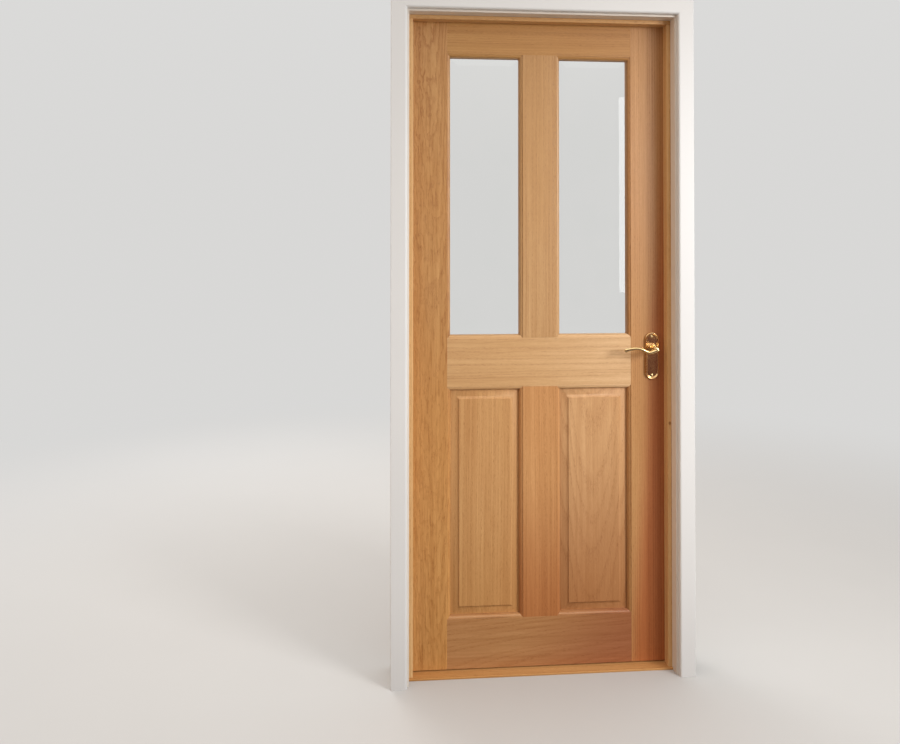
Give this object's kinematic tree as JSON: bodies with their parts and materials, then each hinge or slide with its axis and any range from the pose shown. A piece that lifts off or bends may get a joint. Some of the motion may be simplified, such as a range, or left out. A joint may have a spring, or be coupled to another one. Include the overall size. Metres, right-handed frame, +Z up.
{
  "type": "glazed panelled interior door",
  "caption": "Oak interior door with bevelled glass above raised panels, lever latch and butt hinges, hung in a white lining with architraves.",
  "frame": {"origin": "on the floor, under the threshold strip, midway between the jambs and midway through the depth of the lining", "axes": "+X along the wall towards the latch side, +Y through the doorway to the side the leaf opens to, +Z up"},
  "size_m": [0.944, 0.1776, 2.109],
  "materials": {
    "oak": "satin lacquered oak, straight and cathedral grain",
    "white_paint": "white satin paint on timber",
    "brass": "polished and lacquered",
    "glass": "clear, with wide polished bevels",
    "steel": "bright zinc plate"
  },
  "bodies": {
    "frame": {"left_jamb": "white_paint", "right_jamb": "white_paint", "head_jamb": "white_paint", "corner_screws": "steel", "left_stop": "oak", "right_stop": "oak", "head_stop": "oak", "threshold_strip": "oak", "front_left_architrave": "white_paint", "front_right_architrave": "white_paint", "front_head_architrave": "white_paint", "rear_left_architrave": "white_paint", "rear_right_architrave": "white_paint", "rear_head_architrave": "white_paint", "bottom_hinge_frame_plate": "brass", "middle_hinge_frame_plate": "brass", "top_hinge_frame_plate": "brass", "bottom_hinge_pin": "brass", "middle_hinge_pin": "brass", "top_hinge_pin": "brass", "hinge_frame_screws": "brass", "strike_plate": "brass", "strike_screws": "brass"},
    "leaf": {"hinge_stile": "oak", "latch_stile": "oak", "top_rail": "oak", "lock_rail": "oak", "bottom_rail": "oak", "upper_muntin": "oak", "lower_muntin": "oak", "left_panel": "oak", "right_panel": "oak", "left_glass": "glass", "right_glass": "glass", "left_bottom_bead": "oak", "left_right_bead": "oak", "left_top_bead": "oak", "left_left_bead": "oak", "right_bottom_bead": "oak", "right_right_bead": "oak", "right_top_bead": "oak", "right_left_bead": "oak", "bottom_hinge_leaf_plate": "brass", "middle_hinge_leaf_plate": "brass", "top_hinge_leaf_plate": "brass", "hinge_leaf_screws": "brass", "latch_case": "steel", "latch_forend": "brass", "forend_screws": "brass", "front_backplate": "brass", "rear_backplate": "brass", "backplate_screws": "brass", "latch_spring": "steel"},
    "lever": {"front_lever": "brass", "rear_lever": "brass", "spindle": "steel", "grub_screws": "steel", "latch_follower": "steel"},
    "latch": {"latch_bolt": "brass"}
  },
  "joints": [
    {"name": "leaf_swing", "type": "hinge", "parent": "frame", "child": "leaf", "pos_m": [-0.4145, 0.0602, 0], "axis": [0, 0, 1], "range_deg": [0, 150]},
    {"name": "lever_turn", "type": "hinge", "parent": "leaf", "child": "lever", "pos_m": [0.363, 0.034, 1.01], "axis": [0, -1, 0], "range_deg": [0, 40], "stiffness_Nm_per_rad": 0.8, "springref_deg": -45.84},
    {"name": "latch_slide", "type": "slide", "parent": "leaf", "child": "latch", "axis": [-1, 0, 0], "range_m": [0, 0.0111], "deforming": ["latch_spring"]}
  ],
  "couplings": [
    {"joint": "latch_slide", "follows": "lever_turn", "m_per_rad": 0.015756}
  ]
}
